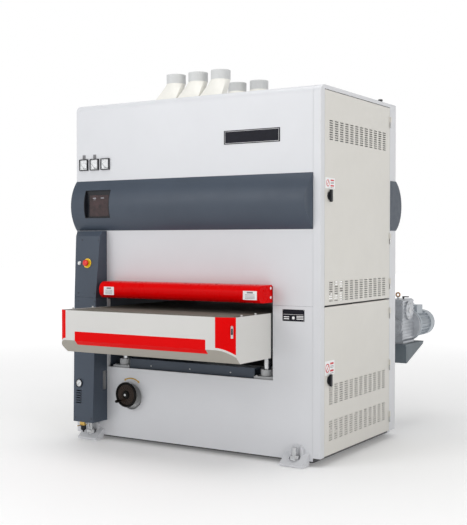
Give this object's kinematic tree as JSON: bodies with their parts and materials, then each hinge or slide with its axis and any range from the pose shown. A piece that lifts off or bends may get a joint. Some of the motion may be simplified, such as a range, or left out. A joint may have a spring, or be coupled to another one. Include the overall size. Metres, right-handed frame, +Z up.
{
  "type": "wide belt sander",
  "caption": "Wide-belt drum sander: a cabinet with sanding heads over a conveyor table that rises and falls, with side doors, a control column, meters and a feed drive.",
  "frame": {"origin": "on the floor under the middle of the whole machine, from the table's front to the feed motor's end, with the cabinet centred left to right", "axes": "+Z up, -Y towards the operator at the infeed, +X towards the belt-change doors"},
  "size_m": [1.779, 2.189, 2.298],
  "materials": {
    "light_paint": "satin",
    "warm_paint": "satin",
    "dark_paint": "satin",
    "red_paint": "gloss",
    "steel": "satin",
    "black_steel": "satin",
    "grey_casting": "satin",
    "gear_housing": "satin",
    "motor_paint": "satin",
    "conveyor_rubber": "matte",
    "roller_rubber": "matte",
    "abrasive": "matte",
    "black_plastic": "gloss",
    "button_red": "gloss",
    "button_white": "gloss",
    "ring_plastic": "gloss",
    "needle": "satin",
    "glass": "gloss",
    "brass": "satin"
  },
  "bodies": {
    "frame": {"base_frame": "black_steel", "foot_brackets": "light_paint", "levelling_bolts": "black_steel", "corner_posts": "light_paint", "side_frames": "dark_paint", "cross_beams": "dark_paint", "lower_front_panel": "light_paint", "middle_front_panel": "light_paint", "front_band": "dark_paint", "touch_screen": "black_plastic", "upper_front_panel": "light_paint", "roof_panel": "light_paint", "rear_panels": "light_paint", "rear_band": "dark_paint", "left_side_covers": "warm_paint", "dust_outlets": "light_paint", "control_column_upper": "dark_paint", "control_column_lower": "dark_paint", "ammeter_cases": "black_plastic", "meter_glasses": "glass", "button_rings": "ring_plastic", "gauge_case": "black_plastic", "filter_regulator": "brass", "door_hinges": "steel", "infeed_guard": "red_paint", "head_beams": "grey_casting", "abrasive_belts": "abrasive", "main_motors": "motor_paint", "drive_belts": "roller_rubber", "jack_bases": "grey_casting", "chain_channels": "dark_paint", "lift_gearbox": "grey_casting"},
    "table": {"table_frame": "dark_paint", "conveyor_belt": "conveyor_rubber", "table_cover": "light_paint", "corner_caps": "red_paint", "feed_gearbox": "gear_housing", "feed_motor": "motor_paint", "jack_screws": "steel"},
    "idler_roller": {"idler_roller": "steel"},
    "drive_roller": {"drive_roller": "steel"},
    "upper_door": {"upper_door": "warm_paint"},
    "upper_door_latch": {"upper_door_latch": "black_plastic"},
    "lower_door": {"lower_door": "warm_paint"},
    "lower_door_latch": {"lower_door_latch": "black_plastic"},
    "handwheel": {"handwheel": "black_plastic"},
    "e_stop_button": {"e_stop_button": "button_red"},
    "start_button": {"start_button": "button_white"},
    "gauge_needle": {"gauge_needle": "needle"},
    "ammeter_needle_1": {"ammeter_needle_1": "needle"},
    "ammeter_needle_2": {"ammeter_needle_2": "needle"},
    "ammeter_needle_3": {"ammeter_needle_3": "needle"},
    "front_drum": {"contact_drum_front": "steel"},
    "rear_drum": {"contact_drum_rear": "roller_rubber"},
    "front_tension_roller": {"tension_roller_front": "steel"},
    "rear_tension_roller": {"tension_roller_rear": "steel"},
    "front_motor_pulley": {"motor_pulley_front": "steel"},
    "rear_motor_pulley": {"motor_pulley_rear": "steel"},
    "infeed_roller": {"infeed_pressure_roller": "roller_rubber"},
    "outfeed_roller": {"outfeed_pressure_roller": "roller_rubber"}
  },
  "joints": [
    {"name": "table_lift", "type": "slide", "parent": "frame", "child": "table", "axis": [0, 0, 1], "range_m": [-0.102, 0.056]},
    {"name": "handwheel_turn", "type": "hinge", "parent": "frame", "child": "handwheel", "pos_m": [-0.439, -0.7375, 0.306], "axis": [0, 1, 0], "range_deg": [-18360, 10080]},
    {"name": "idler_roller_spin", "type": "hinge", "parent": "table", "child": "idler_roller", "pos_m": [0, -1.0055, 0.793], "axis": [1, 0, 0], "continuous": true},
    {"name": "drive_roller_spin", "type": "hinge", "parent": "table", "child": "drive_roller", "pos_m": [0, 0.6695, 0.793], "axis": [1, 0, 0], "continuous": true},
    {"name": "upper_door_swing", "type": "hinge", "parent": "frame", "child": "upper_door", "pos_m": [0.8805, 0.2905, 1.5], "axis": [0, 0, 1], "range_deg": [0, 110]},
    {"name": "lower_door_swing", "type": "hinge", "parent": "frame", "child": "lower_door", "pos_m": [0.8805, 0.2905, 0.47], "axis": [0, 0, 1], "range_deg": [0, 110]},
    {"name": "upper_latch_turn", "type": "hinge", "parent": "upper_door", "child": "upper_door_latch", "pos_m": [0.875, -0.5745, 1.509], "axis": [1, 0, 0], "range_deg": [0, 90]},
    {"name": "lower_latch_turn", "type": "hinge", "parent": "lower_door", "child": "lower_door_latch", "pos_m": [0.875, -0.5745, 0.475], "axis": [1, 0, 0], "range_deg": [0, 90]},
    {"name": "e_stop_press", "type": "slide", "parent": "frame", "child": "e_stop_button", "axis": [0, 0.9937, -0.1119], "range_m": [0, 0.006], "stiffness_N_per_m": 800},
    {"name": "start_button_press", "type": "slide", "parent": "frame", "child": "start_button", "axis": [0, 0.9937, -0.1119], "range_m": [0, 0.003], "stiffness_N_per_m": 400},
    {"name": "gauge_needle_swing", "type": "hinge", "parent": "frame", "child": "gauge_needle", "pos_m": [-0.744, -0.8103, 0.366], "axis": [0, 0.9991, -0.0423], "range_deg": [0, 270]},
    {"name": "ammeter_needle_1_swing", "type": "hinge", "parent": "frame", "child": "ammeter_needle_1", "pos_m": [-0.812, -0.6845, 1.721], "axis": [0, 1, 0], "range_deg": [0, 90]},
    {"name": "ammeter_needle_2_swing", "type": "hinge", "parent": "frame", "child": "ammeter_needle_2", "pos_m": [-0.725, -0.6845, 1.721], "axis": [0, 1, 0], "range_deg": [0, 90]},
    {"name": "ammeter_needle_3_swing", "type": "hinge", "parent": "frame", "child": "ammeter_needle_3", "pos_m": [-0.638, -0.6845, 1.721], "axis": [0, 1, 0], "range_deg": [0, 90]},
    {"name": "front_drum_spin", "type": "hinge", "parent": "frame", "child": "front_drum", "pos_m": [0, -0.3955, 1.0101], "axis": [1, 0, 0], "continuous": true},
    {"name": "front_tension_roller_spin", "type": "hinge", "parent": "frame", "child": "front_tension_roller", "pos_m": [0, -0.3955, 1.702], "axis": [1, 0, 0], "continuous": true},
    {"name": "front_motor_pulley_spin", "type": "hinge", "parent": "frame", "child": "front_motor_pulley", "pos_m": [0, -0.3955, 0.29], "axis": [1, 0, 0], "continuous": true},
    {"name": "rear_drum_spin", "type": "hinge", "parent": "frame", "child": "rear_drum", "pos_m": [0, 0.1045, 1.0101], "axis": [1, 0, 0], "continuous": true},
    {"name": "rear_tension_roller_spin", "type": "hinge", "parent": "frame", "child": "rear_tension_roller", "pos_m": [0, 0.1045, 1.702], "axis": [1, 0, 0], "continuous": true},
    {"name": "rear_motor_pulley_spin", "type": "hinge", "parent": "frame", "child": "rear_motor_pulley", "pos_m": [0, 0.1045, 0.29], "axis": [1, 0, 0], "continuous": true},
    {"name": "infeed_roller_spin", "type": "hinge", "parent": "frame", "child": "infeed_roller", "pos_m": [0, -0.5575, 0.942], "axis": [1, 0, 0], "continuous": true},
    {"name": "outfeed_roller_spin", "type": "hinge", "parent": "frame", "child": "outfeed_roller", "pos_m": [0, 0.2665, 0.942], "axis": [1, 0, 0], "continuous": true}
  ],
  "couplings": [
    {"joint": "handwheel_turn", "follows": "table_lift", "rad_per_m": 3141.6},
    {"joint": "idler_roller_spin", "follows": "drive_roller_spin", "ratio": 1},
    {"joint": "front_tension_roller_spin", "follows": "front_drum_spin", "ratio": 1.7791},
    {"joint": "front_motor_pulley_spin", "follows": "front_drum_spin", "ratio": 1},
    {"joint": "rear_tension_roller_spin", "follows": "rear_drum_spin", "ratio": 1.7791},
    {"joint": "rear_motor_pulley_spin", "follows": "rear_drum_spin", "ratio": 1}
  ]
}
